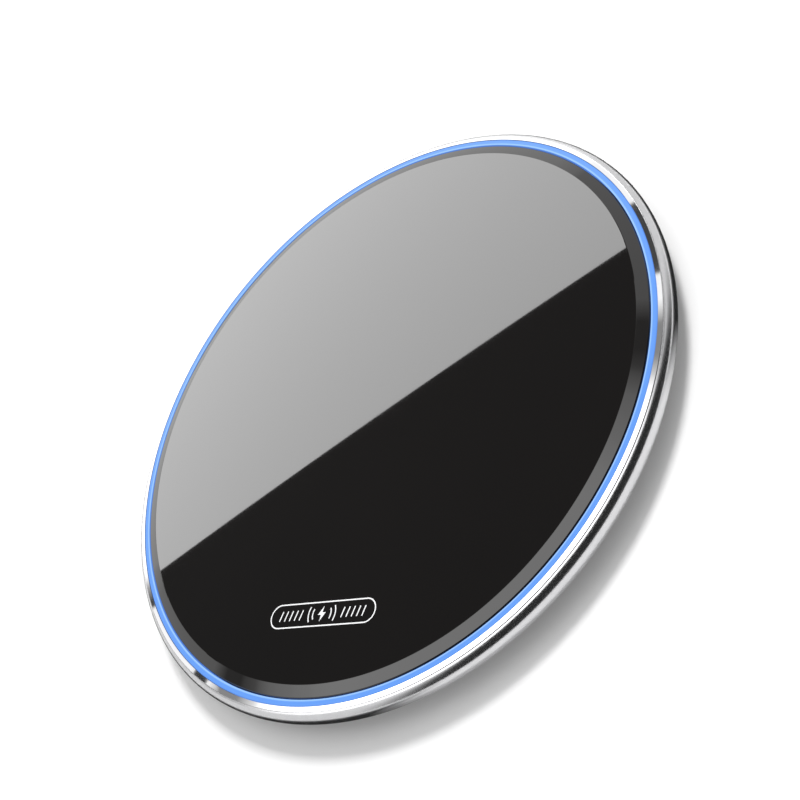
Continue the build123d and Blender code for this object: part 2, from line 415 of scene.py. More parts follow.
GLASS = MirrorGlass("black_mirror_glass", (0.0035, 0.0028, 0.0026), 0.012, color_spread=0.3, grain=400.0)
INK = Finish("white_ink", (0.86, 0.86, 0.87), 0.45, grain=9000.0, color_spread=0.04)
FRAME_SIDE = TurnedMetal(
    "satin_frame_metal",
    (0.60, 0.60, 0.61),
    0.22,
    metallic=1.0,
    grain=9000.0,
    color_spread=0.05,
    gloss_spread=0.05,
    relief=0.0006 * MM,
    ring_depth=0.00002 * MM,
)
FRAME_LIP = TurnedMetal(
    "polished_frame_lip",
    (0.93, 0.93, 0.94),
    0.04,
    metallic=1.0,
    grain=3000.0,
    color_spread=0.02,
    gloss_spread=0.015,
    ring_depth=0.000004 * MM,
)
FRAME_INSIDE = Finish("blasted_frame_inside", (0.30, 0.30, 0.31), 0.5, 1.0, 9000.0, relief=0.002 * MM)
MOULDED = Finish("black_moulded_plastic", (0.018, 0.018, 0.019), 0.46, grain=14000.0, relief=0.008 * MM)
SILICONE = Finish("black_silicone", (0.030, 0.030, 0.032), 0.72, grain=16000.0, relief=0.004 * MM)
SOCKET_STEEL = Finish("socket_steel", (0.62, 0.62, 0.63), 0.26, 1.0, 7000.0, relief=0.0008 * MM)
CONTACT_GOLD = Finish("contact_gold", (0.86, 0.62, 0.24), 0.22, 1.0, 12000.0)
SCREW_STEEL = Finish("plated_screw_steel", (0.46, 0.46, 0.48), 0.3, 1.0, 6000.0, relief=0.001 * MM)
TAPE = Finish("adhesive_sheet", (0.80, 0.78, 0.70), 0.55, grain=2500.0, relief=0.002 * MM)
SOLDER_MASK = Finish(
    "green_solder_mask", (0.018, 0.12, 0.055), 0.3, grain=3000.0, relief=0.003 * MM, coat=0.4
)
FERRITE = Finish("sintered_ferrite", (0.045, 0.045, 0.05), 0.6, grain=9000.0, relief=0.006 * MM)
AMBER_FILM = Finish("amber_film", (0.60, 0.27, 0.04), 0.2, grain=1500.0, coat=0.5)
COPPER = Finish("enamelled_copper", (0.74, 0.33, 0.14), 0.3, 1.0, 18000.0, relief=0.006 * MM)
EPOXY = Finish("chip_epoxy", (0.028, 0.028, 0.03), 0.5, grain=20000.0, relief=0.003 * MM)
CERAMIC = Finish("capacitor_ceramic", (0.50, 0.36, 0.22), 0.4, grain=12000.0, relief=0.003 * MM)
LAMP_LENS = Finish("lamp_lens", (0.78, 0.78, 0.62), 0.15, grain=9000.0, coat=0.6)
THERMAL_PAD = Finish("thermal_pad_silicone", (0.36, 0.47, 0.60), 0.7, grain=9000.0, relief=0.01 * MM)

CARRIED_NODES: dict[str, Finish] = {
    "port_bezel": MOULDED,
    "deck": MOULDED,
    "usb_shell": SOCKET_STEEL,
    "usb_tongue": MOULDED,
    "usb_contacts": CONTACT_GOLD,
    "cover_screws": SCREW_STEEL,
    "panel_adhesive": TAPE,
    "ferrite_adhesive": TAPE,
    "circuit_board": SOLDER_MASK,
    "ferrite_plate": FERRITE,
    "power_inductor": FERRITE,
    "coil_film": AMBER_FILM,
    "coil_winding": COPPER,
    "coil_leads": COPPER,
    "thermistor": EPOXY,
    "controller_chip": EPOXY,
    "power_switches": EPOXY,
    "led_driver": EPOXY,
    "chip_resistors": EPOXY,
    "resonance_capacitors": CERAMIC,
    "input_capacitors": CERAMIC,
    "crystal": SCREW_STEEL,
    "ring_leds": LAMP_LENS,
    "thermal_pad": THERMAL_PAD,
}


# Meshes ----------------------------------------------------------------------------------------


@dataclass(frozen=True)
class Corner:
    """A corner of a section: distance from the axis, height, and how far it is rounded."""

    radius: float
    height: float
    round: float = 0.0


def rounded_outline(corners: Sequence[Corner], steps: int = 6) -> list[Point]:
    """Outline of a section with its rounded corners as short runs of points.

    Args:
        corners: the corners in order.
        steps: runs on each rounded corner.

    Returns:
        Points as distance from the axis and height.
    """
    points: list[Point] = []
    for index, corner in enumerate(corners):
        here = Vector((corner.radius, corner.height))
        if not corner.round:
            points.append(tuple(here))
            continue
        before, after = corners[index - 1], corners[(index + 1) % len(corners)]
        back = (Vector((before.radius, before.height)) - here).normalized()
        ahead = (Vector((after.radius, after.height)) - here).normalized()
        half = back.angle(ahead) / 2
        middle = (back + ahead).normalized()
        centre = here + middle * (corner.round / math.sin(half))
        start = here + back * (corner.round / math.tan(half)) - centre
        turn = start.angle_signed(here + ahead * (corner.round / math.tan(half)) - centre)
        for step in range(steps + 1):
            angle = -turn * step / steps
            spoke = Vector(
                (
                    start.x * math.cos(angle) - start.y * math.sin(angle),
                    start.x * math.sin(angle) + start.y * math.cos(angle),
                )
            )
            points.append(tuple(centre + spoke))
    return points


def arc_between(widest: Point, end: Point, steps: int) -> list[Point]:
    """Points on the arc that leaves the widest point straight up or down and ends at another.

    Args:
        widest: where the arc is vertical.
        end: the other end, nearer to the axis.
        steps: runs on the arc.

    Returns:
        Points from the widest to the end, both included.
    """
    inward = widest[0] - end[0]
    rise = end[1] - widest[1]
    radius = (inward**2 + rise**2) / (2 * inward)
    sweep = math.asin(min(1.0, abs(rise) / radius))
    way = math.copysign(1.0, rise)
    points = []
    for step in range(steps + 1):
        angle = sweep * step / steps
        points.append(
            (widest[0] - radius + radius * math.cos(angle), widest[1] + way * radius * math.sin(angle))
        )
    return points


def new_piece(name: str, mesh: bpy.types.Mesh, replaced: Sequence[str] = ()) -> bpy.types.Object:
    """Adds an object that rides on the pad.

    Args:
        name: name of the piece.
        mesh: its mesh, in the frame of the pad.
        replaced: CAD nodes that the piece stands for.

    Returns:
        The new object.
    """
    piece = bpy.data.objects.new(name, mesh)
    bpy.context.scene.collection.objects.link(piece)
    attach(piece, BODY)
    if replaced:
        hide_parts(*replaced)
    return piece


def mesh_from(name: str, shape: bmesh.types.BMesh, sharp_angle: float = 35.0) -> bpy.types.Mesh:
    """Mesh with smooth faces, and sharp edges where the surface turns quickly.

    Args:
        name: name of the mesh.
        shape: the shape, which is freed.
        sharp_angle: turn in degrees from which an edge is sharp.

    Returns:
        The new mesh.
    """
    bmesh.ops.recalc_face_normals(shape, faces=shape.faces)
    mesh = bpy.data.meshes.new(name)
    shape.to_mesh(mesh)
    shape.free()
    mesh.shade_smooth()
    mesh.set_sharp_from_angle(angle=math.radians(sharp_angle))
    return mesh


def turned_mesh(name: str, outline: Sequence[Point], segments: int = 384) -> bpy.types.Mesh:
    """Closed solid of revolution about the pad's axis.

    Args:
        name: name of the mesh.
        outline: closed section as distance from the axis and height; 0 closes it on the axis.
        segments: number of steps round the axis.

    Returns:
        The new mesh.
    """
    shape = bmesh.new()
    columns: list[list[bmesh.types.BMVert]] = []
    on_axis = {
        i: shape.verts.new((0, 0, height)) for i, (radius, height) in enumerate(outline) if radius == 0
    }
    for step in range(segments):
        angle = math.tau * step / segments
        column = []
        for i, (radius, height) in enumerate(outline):
            place = (radius * math.cos(angle), radius * math.sin(angle), height)
            column.append(on_axis[i] if i in on_axis else shape.verts.new(place))
        columns.append(column)
    count = len(outline)
    for step in range(segments):
        this, following = columns[step], columns[(step + 1) % segments]
        for i in range(count):
            j = (i + 1) % count
            ring = [this[i], this[j], following[j], following[i]]
            corners = list(dict.fromkeys(ring))
            if len(corners) > 2:
                shape.faces.new(corners)
    return mesh_from(name, shape)


def slot_cutter(start: float, end: float) -> bpy.types.Object:
    """Solid with rounded ends along +Y, for cutting the slot that holds the socket's bezel.

    Args:
        start: where it starts on Y.
        end: where it ends on Y.

    Returns:
        The cutter, which carve() removes once it has been used.
    """
    bezel_low, bezel_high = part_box("port_bezel")
    width = bezel_high.x - bezel_low.x + 2 * SLOT_CLEARANCE
    height = bezel_high.z - bezel_low.z + 2 * SLOT_CLEARANCE
    level = (bezel_high.z + bezel_low.z) / 2
    shape = bmesh.new()
    rim: list[Point] = []
    for side in (1, -1):
        for step in range(SLOT_END_STEPS + 1):
            angle = side * math.pi / 2 - math.pi * step / SLOT_END_STEPS
            x = side * (width - height) / 2 + height / 2 * math.cos(angle)
            rim.append((x, level + height / 2 * math.sin(angle)))
    front = [shape.verts.new((x, end, z)) for x, z in rim]
    back = [shape.verts.new((x, start, z)) for x, z in rim]
    shape.faces.new(front)
    shape.faces.new(list(reversed(back)))
    for i in range(len(rim)):
        j = (i + 1) % len(rim)
        shape.faces.new((front[i], back[i], back[j], front[j]))
    cutter = bpy.data.objects.new("cutter", mesh_from("cutter", shape))
    bpy.context.scene.collection.objects.link(cutter)
    return cutter


def carve(piece: bpy.types.Object, cutter: bpy.types.Object) -> None:
    """Takes the cutter's space out of a piece and removes the cutter.

    Args:
        piece: the piece, whose mesh is exchanged.
        cutter: the solid that is taken out.
    """
    modifier = piece.modifiers.new("carve", "BOOLEAN")
    modifier.object = cutter
    modifier.operation = "DIFFERENCE"
    modifier.solver = "EXACT"
    graph = bpy.context.evaluated_depsgraph_get()
    carved = bpy.data.meshes.new_from_object(piece.evaluated_get(graph))
    piece.modifiers.clear()
    piece.data = carved
    bpy.data.objects.remove(cutter)


def half_width(node: str) -> float:
    """Outer radius of a round CAD node."""
    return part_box(node)[1].x


def low(node: str) -> float:
    """Lowest height of a CAD node."""
    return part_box(node)[0].z


def high(node: str) -> float:
    """Highest height of a CAD node."""
    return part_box(node)[1].z


# Pieces ----------------------------------------------------------------------------------------


@dataclass
class GlassPanel:
    """The black glass: a flat face, a bevel all round and softened edges."""

    bevel_width: float = 1.62 * MM
    bevel_drop: float = 0.47 * MM
    edge_step: float = 0.1 * MM
    face_round: float = 0.5 * MM
    edge_round: float = 0.06 * MM
    node: str = "top_panel"

    @property
    def face_radius(self) -> float:
        """Radius of the flat face."""
        return half_width(self.node) - self.edge_step - self.bevel_width

    @property
    def bevel_slope(self) -> float:
        """Tilt of the bevel in radians."""
        return math.atan2(self.bevel_drop, self.bevel_width)

    def build(self) -> bpy.types.Object:
        """Builds and dresses the glass.

        Returns:
            The glass.
        """
        radius, bottom, top = half_width(self.node), low(self.node), high(self.node)
        foot = top - self.bevel_drop
        section = [
            Corner(0.0, bottom),
            Corner(radius - self.edge_step, bottom),
            Corner(radius, bottom + self.edge_step),
            Corner(radius, foot - self.edge_step, self.edge_round / 2),
            Corner(radius - self.edge_step, foot, self.edge_round),
            Corner(self.face_radius, top, self.face_round),
            Corner(0.0, top),
        ]
        mesh = turned_mesh("glass_panel", rounded_outline(section))
        glass = new_piece("glass_panel", mesh, [self.node])
        glass.data.materials.append(GLASS.material())
        return glass


@dataclass
class PrintedMark:
    """White print near the front edge: a long pill round a bolt, waves and short bars."""

    length: float = 19.6 * MM
    height: float = 3.7 * MM
    line: float = 0.19 * MM
    centre_distance: float = 34.94 * MM
    thickness: float = 0.012 * MM
    bolt_height: float = 2.3 * MM
    wave_radii: Sequence[float] = (1.7 * MM, 2.5 * MM)
    wave_half_angle: float = 27.0
    bar_start: float = 3.9 * MM
    bar_pitch: float = 0.95 * MM
    bar_count: int = 5
    bar_height: float = 1.5 * MM
    bar_lean: float = 0.42 * MM
    steps: int = 24

    def build(self, glass: GlassPanel) -> bpy.types.Object:
        """Builds and dresses the print.

        Args:
            glass: the panel that carries it.

        Returns:
            The print.
        """
        shape = bmesh.new()
        self._ribbon(shape, self._pill(), closed=True)
        for side in (-1, 1):
            for radius in self.wave_radii:
                self._ribbon(shape, self._wave(side, radius), closed=False)
            for number in range(self.bar_count):
                self._ribbon(shape, self._bar(side, number), closed=False)
        shape.faces.new([shape.verts.new((x, y, 0)) for x, y in self._bolt()])
        bmesh.ops.recalc_face_normals(shape, faces=shape.faces)
        bmesh.ops.solidify(shape, geom=shape.faces[:], thickness=self.thickness)
        surface = high(glass.node)
        lowest = min(vert.co.z for vert in shape.verts)
        bmesh.ops.translate(shape, verts=shape.verts, vec=(0, -self.centre_distance, surface - lowest))
        mark = new_piece("printed_mark", mesh_from("printed_mark", shape))
        mark.data.materials.append(INK.material())
        return mark

    def _pill(self) -> list[Point]:
        """Works out the pill.

        Returns:
            Its centre line.
        """
        radius = (self.height - self.line) / 2
        reach = (self.length - self.line) / 2 - radius
        points = []
        for side in (1, -1):
            for step in range(self.steps + 1):
                angle = math.pi * (step / self.steps - side / 2)
                points.append((side * reach + radius * math.cos(angle), radius * math.sin(angle)))
        return points

    def _wave(self, side: int, radius: float) -> list[Point]:
        """Works out one arc of the waves.

        Args:
            side: 1 for the right of the bolt, -1 for the left.
            radius: radius of the arc.

        Returns:
            Its centre line.
        """
        half = math.radians(self.wave_half_angle)
        angles = [half * (2 * step / self.steps - 1) for step in range(self.steps + 1)]
        return [(side * radius * math.cos(angle), radius * math.sin(angle)) for angle in angles]

    def _bar(self, side: int, number: int) -> list[Point]:
        """Works out one short leaning bar.

        Args:
            side: 1 for the right of the bolt, -1 for the left.
            number: its place, counted from the bolt.

        Returns:
            Its two ends.
        """
        x = side * (self.bar_start + number * self.bar_pitch)
        rise = self.bar_height / 2
        return [(x - self.bar_lean / 2, -rise), (x + self.bar_lean / 2, rise)]

    def _bolt(self) -> list[Point]:
        """Works out the bolt, drawn in tenths of its height.

        Returns:
            Its outline.
        """
        unit = self.bolt_height / 10
        outline = ((1.0, 5.0), (-3.0, -0.6), (-0.4, -0.6), (-1.0, -5.0), (3.0, 0.9), (0.3, 0.9))
        return [(x * unit, y * unit) for x, y in outline]

    def _ribbon(self, shape: bmesh.types.BMesh, path: Sequence[Point], closed: bool) -> None:
        """Adds a flat line of the print's width.

        Args:
            shape: the shape that takes it.
            path: its centre line.
            closed: whether the last point joins the first.
        """
        count = len(path)
        pairs = []
        for i, (x, y) in enumerate(path):
            before = path[i - 1] if closed or i else path[i]
            after = path[(i + 1) % count] if closed or i < count - 1 else path[i]
            along = Vector((after[0] - before[0], after[1] - before[1])).normalized()
            across = Vector((-along.y, along.x)) * (self.line / 2)
            pairs.append([shape.verts.new((x + s * across.x, y + s * across.y, 0)) for s in (1, -1)])
        for i in range(count if closed else count - 1):
            j = (i + 1) % count
            shape.faces.new((pairs[i][0], pairs[i][1], pairs[j][1], pairs[j][0]))


@dataclass
class LightGuide:
    """The rim of the glowing ring, which stands round the glass.

    The flange that carries it is out of sight, so only its thickness and reach are used.
    """

    rim_width: float = 1.02 * MM
    flange_height: float = 0.6 * MM
    crown_round: float = 0.16 * MM
    flange_reach: float = 0.46 * MM
    node: str = "light_ring"

    @property
    def outer(self) -> float:
        """Outer radius of the rim."""
        return half_width(self.node) - self.flange_reach

    @property
    def inner(self) -> float:
        """Inner radius of the rim."""
        return self.outer - self.rim_width

    def build(self) -> bpy.types.Object:
        """Builds and dresses the ring.

        Returns:
            The ring.
        """
        bottom, top = low(self.node) + self.flange_height, high(self.node)
        section = [
            Corner(self.inner, bottom),
            Corner(self.outer, bottom),
            Corner(self.outer, top, self.crown_round),
            Corner(self.inner, top, self.crown_round),
        ]
        mesh = turned_mesh("glow_ring", rounded_outline(section))
        ring = new_piece("glow_ring", mesh, [self.node])
        finish = GlowingGuide(
            "lit_light_guide",
            (0.02, 0.05, 0.14),
            0.25,
            color_spread=0.12,
            inner=self.inner,
            outer=self.outer,
        )
        ring.data.materials.append(finish.material())
        return ring


class RingPart(Enum):
    """The stretches of the metal ring, by the place of their material."""

    SIDE = 0
    LIP = 1
    INSIDE = 2


@dataclass
class MetalRing:
    """The metal frame: polished lip, fine groove and convex satin side, slotted for the socket."""

    wall: float = 1.3 * MM
    lip_inset: float = 1.15 * MM
    lip_width: float = 0.67 * MM
    lip_drop: float = 0.1 * MM
    groove: float = 0.12 * MM
    foot_inset: float = 0.7 * MM
    bulge_rise: float = 1.8 * MM
    shoulder_height: float = 1.1 * MM
    side_steps: int = 22
    node: str = "metal_frame"

    @property
    def lip_inner(self) -> float:
        """Inner radius of the lip."""
        return half_width(self.node) - self.lip_inset - self.lip_width

    @property
    def lip_outer(self) -> float:
        """Outer radius of the lip."""
        return half_width(self.node) - self.lip_inset

    @property
    def lip_slope(self) -> float:
        """Tilt of the lip in radians."""
        return math.atan2(self.lip_drop, self.lip_width)

    def outline(self) -> list[Point]:
        """Works out the section of the ring.

        Returns:
            Its points as distance from the axis and height.
        """
        radius, bottom, top = half_width(self.node), low(self.node), high(self.node)
        widest = (radius, bottom + self.bulge_rise)
        edge = top - self.lip_drop
        side_top = (self.lip_outer + self.groove, edge - self.groove)
        side_foot = (radius - self.foot_inset, bottom)
        lower = list(reversed(arc_between(widest, side_foot, self.side_steps)))
        upper = arc_between(widest, side_top, self.side_steps)
        inside = [
            Corner(self.lip_outer, edge - self.groove),
            Corner(self.lip_outer, edge),
            Corner(self.lip_inner, top),
            Corner(self.lip_inner, top - self.shoulder_height),
            Corner(radius - self.wall, top - self.shoulder_height),
            Corner(radius - self.wall, bottom),
        ]
        return lower + upper[1:] + rounded_outline(inside)

    def build(self) -> bpy.types.Object:
        """Builds, slots and dresses the ring.

        Returns:
            The ring.
        """
        mesh = turned_mesh("frame_ring", self.outline())
        ring = new_piece("frame_ring", mesh, [self.node])
        for finish in (FRAME_SIDE, FRAME_LIP, FRAME_INSIDE):
            ring.data.materials.append(finish.material())
        radius = half_width(self.node)
        carve(ring, slot_cutter(radius - SLOT_DEPTH_IN_WALLS * self.wall, radius + self.wall))
        self._paint(ring.data)
        return ring

    def _paint(self, mesh: bpy.types.Mesh) -> None:
        """Gives the lip, the side and the inside their own finishes.

        Args:
            mesh: the ring's mesh.
        """
        radius, top = half_width(self.node), high(self.node)
        lip_foot = top - self.lip_drop - self.groove / 2
        for face in mesh.polygons:
            out = math.hypot(face.center.x, face.center.y)
            outward = (face.center.x * face.normal.x + face.center.y * face.normal.y) / out
            if face.center.z > lip_foot and face.normal.z > FLAT_LIP_SLOPE:
                part = RingPart.LIP
            elif out < radius - self.wall + self.groove and outward < 0.5:
                part = RingPart.INSIDE
            else:
                part = RingPart.SIDE
            face.material_index = part.value
        mesh.shade_smooth()
        mesh.set_sharp_from_angle(angle=math.radians(LIP_SHARP_ANGLE))


@dataclass
class BottomCover:
    """The moulded cover: tapered shoulder, flat underside and a groove for the foot."""

    step: float = 0.2 * MM
    taper: float = 2.9 * MM
    corner_round: float = 0.5 * MM
    frame_inset: float = 0.7 * MM
    wall: float = 2.0 * MM
    floor: float = 1.2 * MM
    groove_depth: float = 0.3 * MM
    groove_clearance: float = 0.1 * MM
    foot_width: float = 9.5 * MM
    node: str = "bottom_cover"

    def build(self) -> bpy.types.Object:
        """Builds, slots and dresses the cover.

        Returns:
            The cover.
        """
        bottom, top = low(self.node), high(self.node)
        frame_bottom = low("metal_frame")
        shoulder = half_width("metal_frame") - self.frame_inset - self.step
        wall_outer = half_width("light_ring")
        wall_inner = wall_outer - self.wall
        foot_outer = half_width("foot_ring") + self.groove_clearance
        foot_inner = half_width("foot_ring") - self.foot_width - self.groove_clearance
        inside = bottom + self.floor
        section = [
            Corner(0.0, bottom),
            Corner(foot_inner, bottom),
            Corner(foot_inner, bottom + self.groove_depth),
            Corner(foot_outer, bottom + self.groove_depth),
            Corner(foot_outer, bottom),
            Corner(shoulder - self.taper, bottom, self.corner_round),
            Corner(shoulder, frame_bottom, self.groove_clearance),
            Corner(wall_outer, frame_bottom),
            Corner(wall_outer, top),
            Corner(wall_inner, top),
            Corner(wall_inner, inside),
            Corner(0.0, inside),
        ]
        mesh = turned_mesh("base_cover", rounded_outline(section))
        cover = new_piece("base_cover", mesh, [self.node])
        cover.data.materials.append(MOULDED.material())
        carve(cover, slot_cutter(wall_inner - self.wall, shoulder + self.wall))
        return cover


@dataclass
class FootRing:
    """The soft foot: rounded edges and three shallow grip grooves."""

    width: float = 9.5 * MM
    edge_round: float = 0.25 * MM
    groove_count: int = 3
    groove_width: float = 0.7 * MM
    groove_depth: float = 0.22 * MM
    round_steps: int = 3
    segments: int = 192
    node: str = "foot_ring"

    def build(self) -> bpy.types.Object:
        """Builds and dresses the foot.

        Returns:
            The foot.
        """
        outer, bottom, top = half_width(self.node), low(self.node), high(self.node)
        inner = outer - self.width
        pitch = self.width / (self.groove_count + 1)
        section = [Corner(inner, top), Corner(inner, bottom, self.edge_round)]
        for number in range(self.groove_count):
            middle = inner + pitch * (number + 1)
            for side, depth in ((-1, 0.0), (-0.5, 1.0), (0.5, 1.0), (1, 0.0)):
                reach = middle + side * self.groove_width / 2
                section.append(Corner(reach, bottom + depth * self.groove_depth, self.groove_depth / 4))
        section += [Corner(outer, bottom, self.edge_round), Corner(outer, top)]
        mesh = turned_mesh("grip_foot", rounded_outline(section, self.round_steps), self.segments)
        foot = new_piece("grip_foot", mesh, [self.node])
        foot.data.materials.append(SILICONE.material())
        return foot


# Studio ----------------------------------------------------------------------------------------


@dataclass(frozen=True)
class Viewpoint:
    """Where the camera stands, as angles and a distance from the middle of the lit ring."""

    azimuth: float = 53.28
    elevation: float = 39.484
    distance: float = 200.0 * MM
    roll: float = 51.454
    lens: float = 58.97
    aim_right: float = 2.474 * MM
    aim_ahead: float = -5.336 * MM
    clip_share: float = 0.01

    @property
    def centre(self) -> Vector:
        """Middle of the lit ring."""
        return Vector((0, 0, high("light_ring")))

    @property
    def right(self) -> Vector:
        """Level direction to the camera's right, before it is rolled."""
        angle = math.radians(self.azimuth)
        return Vector((math.cos(angle), math.sin(angle), 0))

    @property
    def ahead(self) -> Vector:
        """Level direction away from the camera."""
        angle = math.radians(self.azimuth)
        return Vector((-math.sin(angle), math.cos(angle), 0))

    @property
    def eye(self) -> Vector:
        """Place of the camera."""
        tilt = math.radians(self.elevation)
        return self.centre + self.distance * (Vector((0, 0, math.sin(tilt))) - self.ahead * math.cos(tilt))

    def build(self) -> bpy.types.Object:
        """Makes the camera.

        Returns:
            The camera.
        """
        data = bpy.data.cameras.new("camera")
        data.lens = self.lens
        data.clip_start = self.distance * self.clip_share
        data.clip_end = self.distance / self.clip_share
        camera = bpy.data.objects.new("camera", data)
        bpy.context.scene.collection.objects.link(camera)
        target = self.centre + self.right * self.aim_right + self.ahead * self.aim_ahead
        level = (target - self.eye).to_track_quat("-Z", "Y")
        camera.rotation_mode = "QUATERNION"
        camera.location = self.eye
        camera.rotation_quaternion = level @ Quaternion((0, 0, 1), -math.radians(self.roll))
        bpy.context.scene.camera = camera
        return camera

    def mirrored(self, place: Vector, normal: Vector) -> Vector:
        """Direction in which a polished spot shows the studio to the camera.

        Args:
            place: the spot.
            normal: its normal.

        Returns:
            The unit direction that is seen in it.
        """
        sight = (place - self.eye).normalized()
        return sight.reflect(normal)


@dataclass(frozen=True)
class Card:
    """A card that shows only in polished surfaces, such as a softbox or a black flag.

    Its corners are given row by row, each with the light it gives and how much it covers.
    """

    name: str
    corners: Sequence[Vector]
    rows: int
    light: Sequence[float]
    cover: Sequence[float]

    def build(self) -> bpy.types.Object:
        """Makes the card.

        Returns:
            The card, which only polished surfaces show.
        """
        shape = bmesh.new()
        light = shape.verts.layers.float.new("light")
        cover = shape.verts.layers.float.new("cover")
        verts = []
        for place, level, veil in zip(self.corners, self.light, self.cover):
            vert = shape.verts.new(place)
            vert[light] = level
            vert[cover] = veil
            verts.append(vert)
        columns = len(verts) // self.rows
        for row in range(self.rows - 1):
            for i in range(columns - 1):
                a = row * columns + i
                shape.faces.new((verts[a], verts[a + 1], verts[a + columns + 1], verts[a + columns]))
        mesh = bpy.data.meshes.new(self.name)
        shape.to_mesh(mesh)
        shape.free()
        card = bpy.data.objects.new(self.name, mesh)
        bpy.context.scene.collection.objects.link(card)
        card.data.materials.append(self._material())
        for kind in ("camera", "diffuse", "transmission", "volume_scatter", "shadow"):
            setattr(card, "visible_" + kind, False)
        return card

    @staticmethod
    def _material() -> bpy.types.Material:
        """Makes the material that reads light and cover from a card's corners.

        Returns:
            The material that all cards share.
        """
        found = bpy.data.materials.get("studio_card")
        if found is not None:
            return found
        made = bpy.data.materials.new("studio_card")
        shader = Shader(made)
        level = shader.signal("Attribute", {"attribute_name": "light"}, {}, out="Fac")
        veil = shader.signal("Attribute", {"attribute_name": "cover"}, {}, out="Fac")
        glow = shader.signal("Emission", {}, {"Strength": level})
        clear = shader.signal("BsdfTransparent", {}, {})
        surface = shader.signal("MixShader", {}, {0: veil, 1: clear, 2: glow})
        shader.node("OutputMaterial", {}, {"Surface": surface})
        return made


@dataclass(frozen=True)
class Shine:
    """A stretch of a rim, in degrees from the camera's right, and the light that it shows."""

    start: float
    end: float
    light: float
    spread: float = 4.0
    fade: float = 0.04


@dataclass(frozen=True)
class Lamp:
    """A square soft lamp: how far right of, beyond and above the pad it hangs, in metres."""

    name: str
    right: float
    beyond: float
    above: float
    size: float
    power: float


